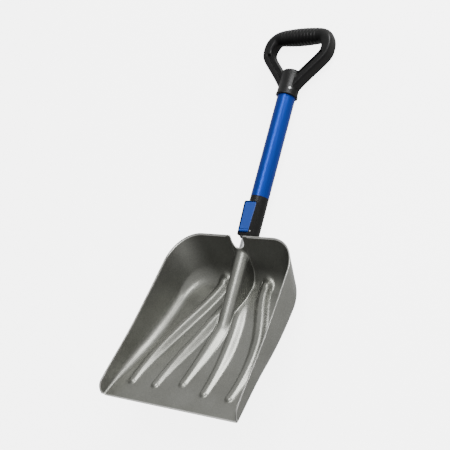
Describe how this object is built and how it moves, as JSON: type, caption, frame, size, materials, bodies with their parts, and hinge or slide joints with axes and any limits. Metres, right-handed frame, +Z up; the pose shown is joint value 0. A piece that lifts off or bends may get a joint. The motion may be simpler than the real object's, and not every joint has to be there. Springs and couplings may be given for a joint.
{
  "type": "avalanche shovel",
  "caption": "Compact scoop shovel for snow with a ribbed sheet-metal blade, a telescopic shaft with a cam-lever lock, and a D-shaped handle.",
  "frame": {"origin": "on the ground under the middle of the folded shovel's box, with the shovel lying on the heel of its blade and on its handle", "axes": "+Y from the blade's lip to the handle, +Z up out of the open side of the scoop, +X across the blade"},
  "size_m": [0.2604, 0.615, 0.1167],
  "materials": {
    "blade_alloy": "satin graphite-grey pressed sheet",
    "bright_tube": "bright drawn tube",
    "blue_tube": "satin blue coating",
    "black_nylon": "moulded, fine grain",
    "blue_nylon": "moulded, semi-gloss",
    "steel": "zinc plated",
    "white_nylon": "moulded acetal",
    "black_rubber": "moulded rubber"
  },
  "bodies": {
    "blade_side": {"blade": "blade_alloy", "socket_saddle": "blade_alloy", "socket_screws": "steel", "socket_dowel": "white_nylon", "inner_tube": "bright_tube", "guide_bush": "white_nylon", "guide_pin": "steel"},
    "handle_side": {"outer_tube": "blue_tube", "collar_rivet": "steel", "tube_bumper": "black_rubber", "lock_collar": "black_nylon", "collar_bush": "white_nylon", "wiper_seal": "black_rubber", "lever_pin": "steel", "lever_washers": "white_nylon", "brake_shoe": "steel", "shoe_facing": "black_rubber", "grip_body": "black_nylon", "grip_rivet": "steel"},
    "lever": {"cam_lever": "blue_nylon"}
  },
  "joints": [
    {"name": "shaft_extend", "type": "slide", "parent": "blade_side", "child": "handle_side", "axis": [0, 0.9997, -0.0235], "range_m": [0, 0.16]},
    {"name": "lever_flip", "type": "hinge", "parent": "handle_side", "child": "lever", "pos_m": [0, -0.02883, 0.03771], "axis": [1, 0, 0], "range_deg": [0, 100]}
  ]
}
